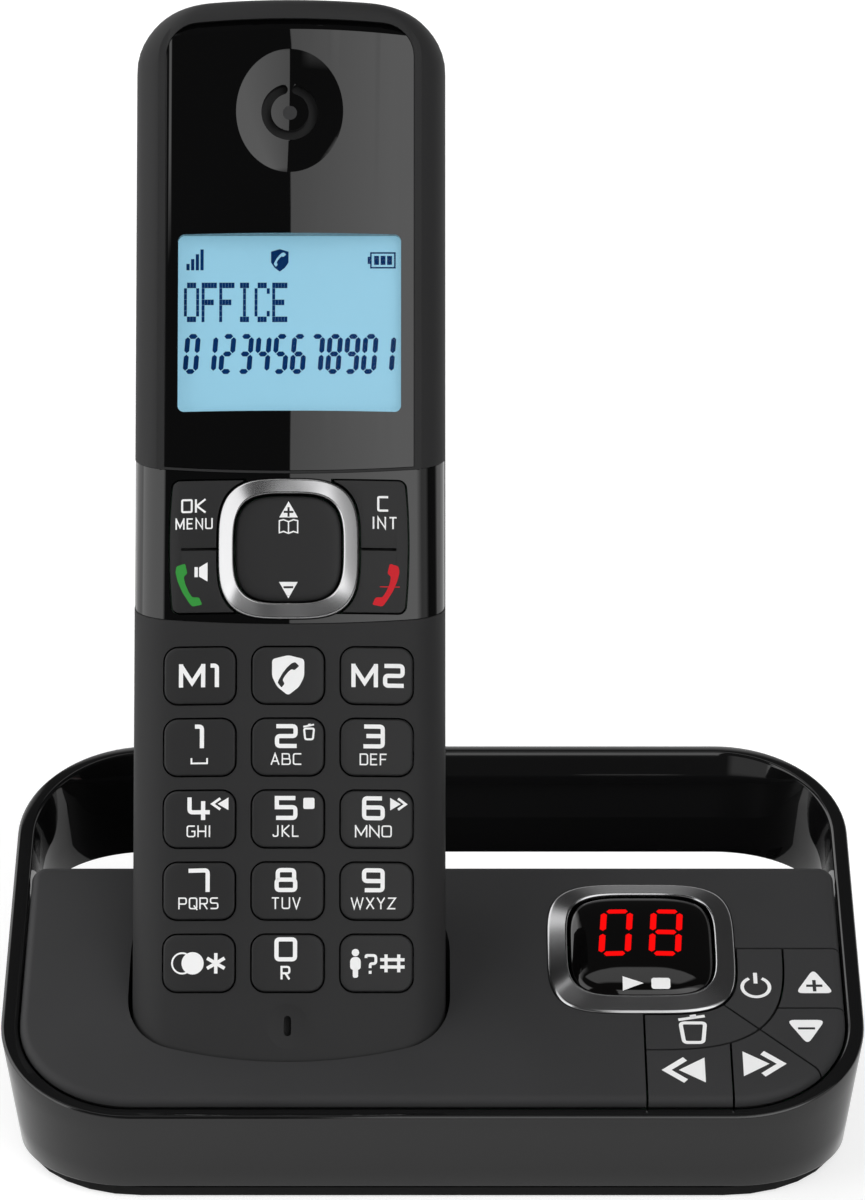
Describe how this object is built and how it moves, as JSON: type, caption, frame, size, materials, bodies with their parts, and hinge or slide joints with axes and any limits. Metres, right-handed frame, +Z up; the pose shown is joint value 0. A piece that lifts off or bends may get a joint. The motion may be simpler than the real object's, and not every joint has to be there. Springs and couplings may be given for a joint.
{
  "type": "cordless telephone",
  "caption": "Cordless telephone handset leaning in a low answering base with a loop-shaped gloss surround, keypad, display and message buttons",
  "frame": {"origin": "middle of the bounding box, on the table under the feet", "axes": "+X to the user's right, +Y to the back, +Z up"},
  "size_m": [0.1318, 0.1096, 0.1598],
  "materials": {
    "shell_matte": "fine matte",
    "gloss_black": "polished",
    "clear_window": "clear",
    "lcd_glass": "display glass",
    "light_guide": "diffuse white",
    "board_green": "solder mask",
    "silicone": "soft",
    "spring_metal": "plain",
    "speaker_metal": "dull",
    "cell_wrap": "shrink wrap",
    "contact_gold": "plated",
    "satin_metal": "satin plated",
    "key_black": "semi-matte",
    "console_matte": "fine matte",
    "foot_rubber": "matte",
    "switch_plastic": "plain",
    "led_black": "filled",
    "lens_black": "polished tint"
  },
  "bodies": {
    "base": {"base_ring": "gloss_black", "base_console": "console_matte", "base_bottom": "console_matte", "base_feet": "foot_rubber", "base_board": "board_green", "tact_switches": "switch_plastic", "led_display": "led_black", "display_bezel": "satin_metal", "base_speaker": "speaker_metal", "base_charge_contacts": "contact_gold", "line_socket": "switch_plastic", "power_socket": "switch_plastic", "base_screws": "spring_metal"},
    "handset": {"handset_front_shell": "shell_matte", "handset_rear_shell": "shell_matte", "glossy_band": "gloss_black", "screen_panel": "gloss_black", "lcd_window": "clear_window", "lcd_module": "lcd_glass", "backlight": "light_guide", "handset_board": "board_green", "keypad_mat": "silicone", "snap_domes": "spring_metal", "earpiece_speaker": "speaker_metal", "handsfree_speaker": "speaker_metal", "microphone": "speaker_metal", "battery_cells": "cell_wrap", "battery_contacts": "spring_metal", "handset_charge_contacts": "contact_gold", "handset_screws": "spring_metal", "nav_ring": "satin_metal"},
    "battery_door": {"battery_door": "shell_matte"},
    "nav_pad": {"nav_pad": "key_black"},
    "left_key": {"left_key": "key_black"},
    "right_key": {"right_key": "key_black"},
    "play_stop_button": {"play_stop_button": "lens_black"},
    "key_m1": {"key_m1": "key_black"},
    "key_call": {"key_call": "key_black"},
    "key_m2": {"key_m2": "key_black"},
    "key_1": {"key_1": "key_black"},
    "key_2": {"key_2": "key_black"},
    "key_3": {"key_3": "key_black"},
    "key_4": {"key_4": "key_black"},
    "key_5": {"key_5": "key_black"},
    "key_6": {"key_6": "key_black"},
    "key_7": {"key_7": "key_black"},
    "key_8": {"key_8": "key_black"},
    "key_9": {"key_9": "key_black"},
    "key_star": {"key_star": "key_black"},
    "key_0": {"key_0": "key_black"},
    "key_hash": {"key_hash": "key_black"},
    "button_power": {"button_power": "console_matte"},
    "button_delete": {"button_delete": "console_matte"},
    "button_volume_up": {"button_volume_up": "console_matte"},
    "button_volume_down": {"button_volume_down": "console_matte"},
    "button_skip_back": {"button_skip_back": "console_matte"},
    "button_skip_forward": {"button_skip_forward": "console_matte"}
  },
  "joints": [
    {"name": "handset_lift", "type": "slide", "parent": "base", "child": "handset", "axis": [0, 0.4924, 0.8704], "range_m": [0, 0.07]},
    {"name": "key_m1_press", "type": "slide", "parent": "handset", "child": "key_m1", "axis": [0, 0.8704, -0.4924], "range_m": [0, 0.0007], "stiffness_N_per_m": 900},
    {"name": "key_call_press", "type": "slide", "parent": "handset", "child": "key_call", "axis": [0, 0.8704, -0.4924], "range_m": [0, 0.0007], "stiffness_N_per_m": 900},
    {"name": "key_m2_press", "type": "slide", "parent": "handset", "child": "key_m2", "axis": [0, 0.8704, -0.4924], "range_m": [0, 0.0007], "stiffness_N_per_m": 900},
    {"name": "key_1_press", "type": "slide", "parent": "handset", "child": "key_1", "axis": [0, 0.8704, -0.4924], "range_m": [0, 0.0007], "stiffness_N_per_m": 900},
    {"name": "key_2_press", "type": "slide", "parent": "handset", "child": "key_2", "axis": [0, 0.8704, -0.4924], "range_m": [0, 0.0007], "stiffness_N_per_m": 900},
    {"name": "key_3_press", "type": "slide", "parent": "handset", "child": "key_3", "axis": [0, 0.8704, -0.4924], "range_m": [0, 0.0007], "stiffness_N_per_m": 900},
    {"name": "key_4_press", "type": "slide", "parent": "handset", "child": "key_4", "axis": [0, 0.8704, -0.4924], "range_m": [0, 0.0007], "stiffness_N_per_m": 900},
    {"name": "key_5_press", "type": "slide", "parent": "handset", "child": "key_5", "axis": [0, 0.8704, -0.4924], "range_m": [0, 0.0007], "stiffness_N_per_m": 900},
    {"name": "key_6_press", "type": "slide", "parent": "handset", "child": "key_6", "axis": [0, 0.8704, -0.4924], "range_m": [0, 0.0007], "stiffness_N_per_m": 900},
    {"name": "key_7_press", "type": "slide", "parent": "handset", "child": "key_7", "axis": [0, 0.8704, -0.4924], "range_m": [0, 0.0007], "stiffness_N_per_m": 900},
    {"name": "key_8_press", "type": "slide", "parent": "handset", "child": "key_8", "axis": [0, 0.8704, -0.4924], "range_m": [0, 0.0007], "stiffness_N_per_m": 900},
    {"name": "key_9_press", "type": "slide", "parent": "handset", "child": "key_9", "axis": [0, 0.8704, -0.4924], "range_m": [0, 0.0007], "stiffness_N_per_m": 900},
    {"name": "key_star_press", "type": "slide", "parent": "handset", "child": "key_star", "axis": [0, 0.8704, -0.4924], "range_m": [0, 0.0007], "stiffness_N_per_m": 900},
    {"name": "key_0_press", "type": "slide", "parent": "handset", "child": "key_0", "axis": [0, 0.8704, -0.4924], "range_m": [0, 0.0007], "stiffness_N_per_m": 900},
    {"name": "key_hash_press", "type": "slide", "parent": "handset", "child": "key_hash", "axis": [0, 0.8704, -0.4924], "range_m": [0, 0.0007], "stiffness_N_per_m": 900},
    {"name": "nav_pad_rock", "type": "hinge", "parent": "handset", "child": "nav_pad", "pos_m": [-0.022, -0.00414, 0.08568], "axis": [1, 0, 0], "range_deg": [-3, 3], "stiffness_Nm_per_rad": 0.2},
    {"name": "left_key_rock", "type": "hinge", "parent": "handset", "child": "left_key", "pos_m": [-0.034, -0.00414, 0.08568], "axis": [1, 0, 0], "range_deg": [-3, 3], "stiffness_Nm_per_rad": 0.2},
    {"name": "right_key_rock", "type": "hinge", "parent": "handset", "child": "right_key", "pos_m": [-0.01, -0.00414, 0.08568], "axis": [1, 0, 0], "range_deg": [-3, 3], "stiffness_Nm_per_rad": 0.2},
    {"name": "battery_door_slide", "type": "slide", "parent": "handset", "child": "battery_door", "axis": [0, -0.4924, -0.8704], "range_m": [0, 0.006]},
    {"name": "play_stop_button_press", "type": "slide", "parent": "base", "child": "play_stop_button", "axis": [0, 0.2756, -0.9613], "range_m": [0, 0.0005], "stiffness_N_per_m": 1200},
    {"name": "button_power_press", "type": "slide", "parent": "base", "child": "button_power", "axis": [0, 0.2756, -0.9613], "range_m": [0, 0.0005], "stiffness_N_per_m": 1200},
    {"name": "button_delete_press", "type": "slide", "parent": "base", "child": "button_delete", "axis": [0, 0.2756, -0.9613], "range_m": [0, 0.0005], "stiffness_N_per_m": 1200},
    {"name": "button_volume_up_press", "type": "slide", "parent": "base", "child": "button_volume_up", "axis": [0, 0.2756, -0.9613], "range_m": [0, 0.0005], "stiffness_N_per_m": 1200},
    {"name": "button_volume_down_press", "type": "slide", "parent": "base", "child": "button_volume_down", "axis": [0, 0.2756, -0.9613], "range_m": [0, 0.0005], "stiffness_N_per_m": 1200},
    {"name": "button_skip_back_press", "type": "slide", "parent": "base", "child": "button_skip_back", "axis": [0, 0.2756, -0.9613], "range_m": [0, 0.0005], "stiffness_N_per_m": 1200},
    {"name": "button_skip_forward_press", "type": "slide", "parent": "base", "child": "button_skip_forward", "axis": [0, 0.2756, -0.9613], "range_m": [0, 0.0005], "stiffness_N_per_m": 1200}
  ]
}
